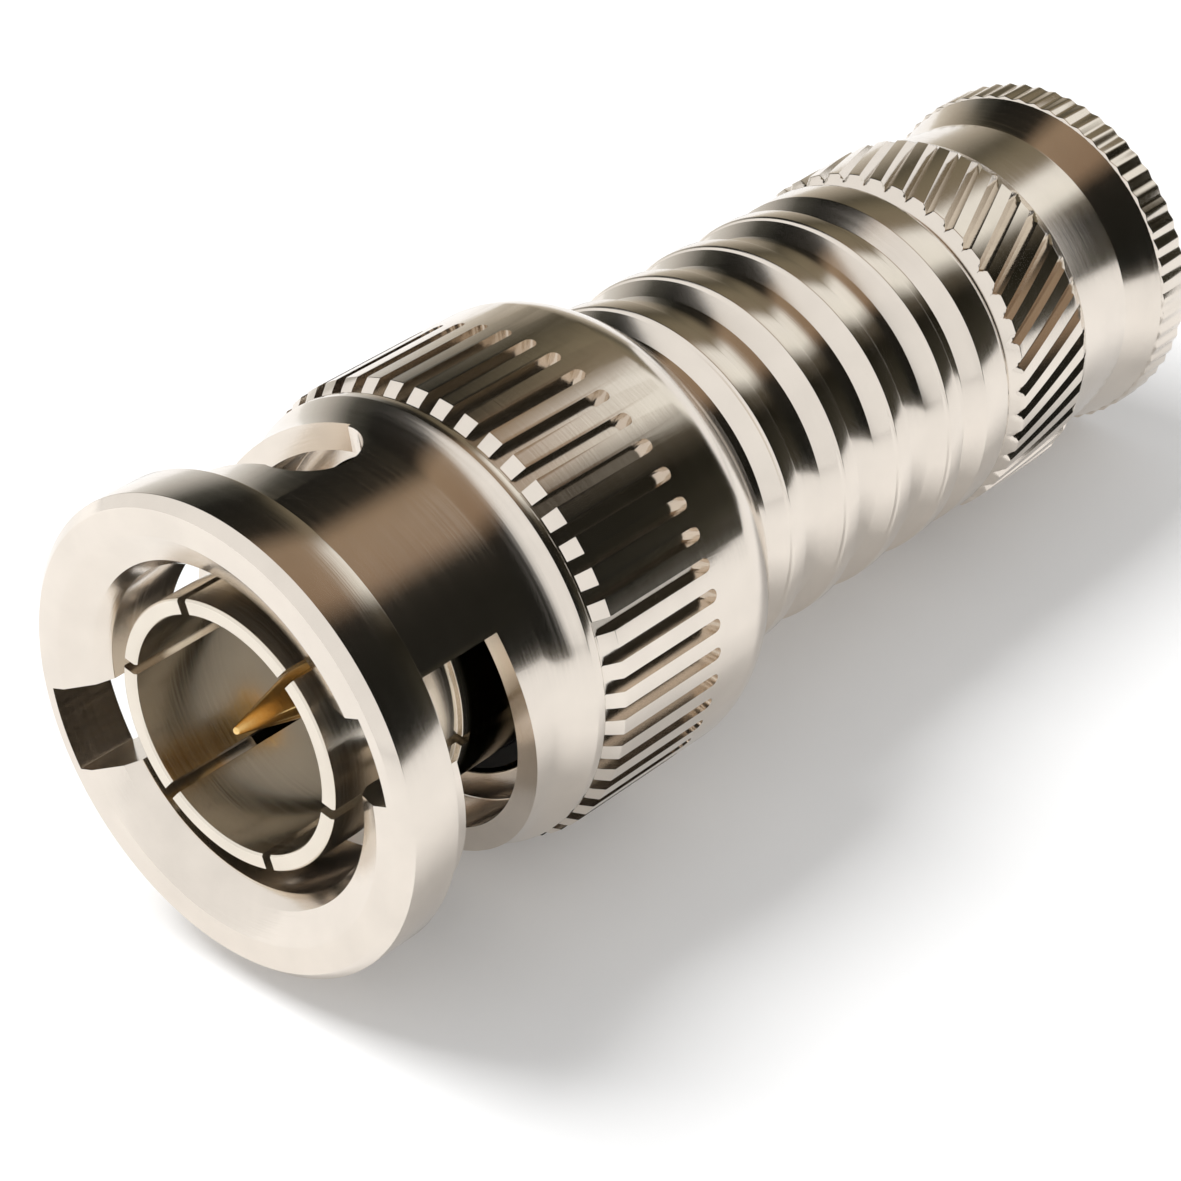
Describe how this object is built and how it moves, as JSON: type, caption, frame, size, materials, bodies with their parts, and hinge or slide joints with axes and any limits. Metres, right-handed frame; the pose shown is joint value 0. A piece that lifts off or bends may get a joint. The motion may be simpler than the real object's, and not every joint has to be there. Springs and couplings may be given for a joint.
{
  "type": "coaxial bayonet plug connector",
  "caption": "Coaxial bayonet plug with a slotted coupling nut, contact fingers, centre pin, ringed barrel and a knurled cable clamp nut.",
  "frame": {"origin": "centre of the rear end, where the cable goes in", "axes": "+Z along the connector's axis towards the mating face; +X through the middle of one entry groove of the coupling nut"},
  "size_m": [0.0144, 0.0144, 0.0376],
  "materials": {
    "nickel": "bright turned nickel plate on brass",
    "nickel_barrel": "bright turned nickel plate on brass",
    "nickel_clamp": "bright knurled nickel plate on brass",
    "body_nickel": "bright nickel plate on brass",
    "spring_steel": "spring temper steel",
    "washer_brass": "plated brass",
    "gold_contact": "gold plate on brass",
    "insulator": "white fluoropolymer",
    "seal": "black rubber"
  },
  "bodies": {
    "plug": {"front_body": "body_nickel", "interface_gasket": "seal", "front_insulator": "insulator", "centre_pin": "gold_contact", "rear_insulator": "insulator", "rear_barrel": "nickel_barrel", "braid_clamp": "washer_brass", "cable_gland": "seal", "wave_washer": "spring_steel"},
    "thrust_washer": {"thrust_washer": "washer_brass"},
    "coupling_nut": {"coupling_nut": "nickel", "retaining_ring": "spring_steel"},
    "slip_washer": {"slip_washer": "washer_brass"},
    "clamp_nut": {"clamp_nut": "nickel_clamp"}
  },
  "joints": [
    {"name": "nut_float", "type": "slide", "parent": "plug", "child": "thrust_washer", "axis": [0, 0, 1], "range_m": [0, 0.0008], "stiffness_N_per_m": 800, "springref_m": -0.001, "deforming": ["wave_washer"]},
    {"name": "nut_turn", "type": "hinge", "parent": "thrust_washer", "child": "coupling_nut", "pos_m": [0, 0, 0.02529], "axis": [0, 0, 1], "continuous": true},
    {"name": "clamp_travel", "type": "slide", "parent": "plug", "child": "slip_washer", "axis": [0, 0, -1], "range_m": [0, 0.0038]},
    {"name": "clamp_turn", "type": "hinge", "parent": "slip_washer", "child": "clamp_nut", "pos_m": [0, 0, 0.0092], "axis": [0, 0, -1], "range_deg": [0, 1800]}
  ],
  "couplings": [
    {"joint": "clamp_travel", "follows": "clamp_turn", "m_per_rad": 0.00011937}
  ]
}
